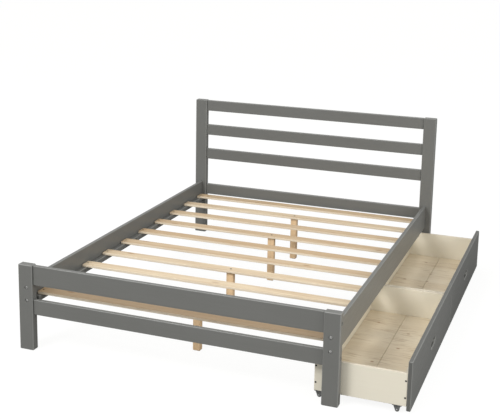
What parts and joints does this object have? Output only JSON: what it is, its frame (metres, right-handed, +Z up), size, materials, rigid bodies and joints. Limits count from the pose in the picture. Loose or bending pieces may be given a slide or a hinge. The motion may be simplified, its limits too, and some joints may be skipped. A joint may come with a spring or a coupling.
{
  "type": "platform bed",
  "caption": "Slatted platform bed with an open-rail headboard, a low footboard, centre legs and storage drawers on casters that roll out from under one long side.",
  "frame": {"origin": "on the floor, under the middle of the bed's box with the drawers pulled out", "axes": "+X towards the side the drawers open on, +Y from the foot to the head, +Z up"},
  "size_m": [1.7634, 1.999, 0.843],
  "materials": {
    "grey_paint": "satin grey paint over solid wood",
    "slat_pine": "planed bare pine",
    "leg_pine": "planed bare pine, a little darker",
    "drawer_board": "pale cream coated board",
    "drawer_plywood": "clear-coated plywood",
    "caster_steel": "dark grey stamped steel",
    "wheel_plastic": "moulded, matte",
    "bolt_steel": "zinc plated"
  },
  "bodies": {
    "root": {"head_post_left": "grey_paint", "head_post_right": "grey_paint", "head_rail_top": "grey_paint", "head_rail_upper": "grey_paint", "head_rail_middle": "grey_paint", "head_rail_bottom": "grey_paint", "foot_post_left": "grey_paint", "foot_post_right": "grey_paint", "foot_rail_top": "grey_paint", "foot_rail_bottom": "grey_paint", "side_rail_left": "grey_paint", "side_rail_right": "grey_paint", "slat_ledger_left": "grey_paint", "slat_ledger_right": "grey_paint", "foot_bolt_left_upper": "bolt_steel", "foot_bolt_left_lower": "bolt_steel", "foot_bolt_right_upper": "bolt_steel", "foot_bolt_right_lower": "bolt_steel", "slat_01": "slat_pine", "slat_02": "slat_pine", "slat_03": "slat_pine", "slat_04": "slat_pine", "slat_05": "slat_pine", "slat_06": "slat_pine", "slat_07": "slat_pine", "slat_08": "slat_pine", "slat_09": "slat_pine", "slat_10": "slat_pine", "centre_leg_1": "leg_pine", "centre_leg_2": "leg_pine", "centre_leg_3": "leg_pine", "centre_leg_4": "leg_pine"},
    "foot_drawer": {"foot_drawer_front": "grey_paint", "foot_drawer_inner_front": "drawer_board", "foot_drawer_back": "drawer_board", "foot_drawer_foot_end": "drawer_board", "foot_drawer_head_end": "drawer_board", "foot_drawer_bottom": "drawer_plywood", "foot_drawer_caster_foot_front": "caster_steel", "foot_drawer_caster_foot_back": "caster_steel", "foot_drawer_caster_head_front": "caster_steel", "foot_drawer_caster_head_back": "caster_steel"},
    "head_drawer": {"head_drawer_front": "grey_paint", "head_drawer_inner_front": "drawer_board", "head_drawer_back": "drawer_board", "head_drawer_foot_end": "drawer_board", "head_drawer_head_end": "drawer_board", "head_drawer_bottom": "drawer_plywood", "head_drawer_caster_foot_front": "caster_steel", "head_drawer_caster_foot_back": "caster_steel", "head_drawer_caster_head_front": "caster_steel", "head_drawer_caster_head_back": "caster_steel"},
    "foot_drawer_foot_front_wheel": {"foot_drawer_wheel_foot_front": "wheel_plastic"},
    "foot_drawer_foot_back_wheel": {"foot_drawer_wheel_foot_back": "wheel_plastic"},
    "foot_drawer_head_front_wheel": {"foot_drawer_wheel_head_front": "wheel_plastic"},
    "foot_drawer_head_back_wheel": {"foot_drawer_wheel_head_back": "wheel_plastic"},
    "head_drawer_foot_front_wheel": {"head_drawer_wheel_foot_front": "wheel_plastic"},
    "head_drawer_foot_back_wheel": {"head_drawer_wheel_foot_back": "wheel_plastic"},
    "head_drawer_head_front_wheel": {"head_drawer_wheel_head_front": "wheel_plastic"},
    "head_drawer_head_back_wheel": {"head_drawer_wheel_head_back": "wheel_plastic"}
  },
  "joints": [
    {"name": "foot_drawer_slide", "type": "slide", "parent": "root", "child": "foot_drawer", "axis": [1, 0, 0], "range_m": [-0.292, 0.13]},
    {"name": "head_drawer_slide", "type": "slide", "parent": "root", "child": "head_drawer", "axis": [1, 0, 0], "range_m": [-0.292, 0.13]},
    {"name": "foot_drawer_foot_front_roll", "type": "hinge", "parent": "foot_drawer", "child": "foot_drawer_foot_front_wheel", "pos_m": [0.82575, -0.9295, 0.009], "axis": [0, 1, 0], "continuous": true},
    {"name": "foot_drawer_foot_back_roll", "type": "hinge", "parent": "foot_drawer", "child": "foot_drawer_foot_back_wheel", "pos_m": [0.50325, -0.9295, 0.009], "axis": [0, 1, 0], "continuous": true},
    {"name": "foot_drawer_head_front_roll", "type": "hinge", "parent": "foot_drawer", "child": "foot_drawer_head_front_wheel", "pos_m": [0.82575, -0.0185, 0.009], "axis": [0, 1, 0], "continuous": true},
    {"name": "foot_drawer_head_back_roll", "type": "hinge", "parent": "foot_drawer", "child": "foot_drawer_head_back_wheel", "pos_m": [0.50325, -0.0185, 0.009], "axis": [0, 1, 0], "continuous": true},
    {"name": "head_drawer_foot_front_roll", "type": "hinge", "parent": "head_drawer", "child": "head_drawer_foot_front_wheel", "pos_m": [0.82575, 0.0185, 0.009], "axis": [0, 1, 0], "continuous": true},
    {"name": "head_drawer_foot_back_roll", "type": "hinge", "parent": "head_drawer", "child": "head_drawer_foot_back_wheel", "pos_m": [0.50325, 0.0185, 0.009], "axis": [0, 1, 0], "continuous": true},
    {"name": "head_drawer_head_front_roll", "type": "hinge", "parent": "head_drawer", "child": "head_drawer_head_front_wheel", "pos_m": [0.82575, 0.9295, 0.009], "axis": [0, 1, 0], "continuous": true},
    {"name": "head_drawer_head_back_roll", "type": "hinge", "parent": "head_drawer", "child": "head_drawer_head_back_wheel", "pos_m": [0.50325, 0.9295, 0.009], "axis": [0, 1, 0], "continuous": true}
  ],
  "couplings": [
    {"joint": "foot_drawer_foot_front_roll", "follows": "foot_drawer_slide", "rad_per_m": 111.11},
    {"joint": "foot_drawer_foot_back_roll", "follows": "foot_drawer_slide", "rad_per_m": 111.11},
    {"joint": "foot_drawer_head_front_roll", "follows": "foot_drawer_slide", "rad_per_m": 111.11},
    {"joint": "foot_drawer_head_back_roll", "follows": "foot_drawer_slide", "rad_per_m": 111.11},
    {"joint": "head_drawer_foot_front_roll", "follows": "head_drawer_slide", "rad_per_m": 111.11},
    {"joint": "head_drawer_foot_back_roll", "follows": "head_drawer_slide", "rad_per_m": 111.11},
    {"joint": "head_drawer_head_front_roll", "follows": "head_drawer_slide", "rad_per_m": 111.11},
    {"joint": "head_drawer_head_back_roll", "follows": "head_drawer_slide", "rad_per_m": 111.11}
  ]
}
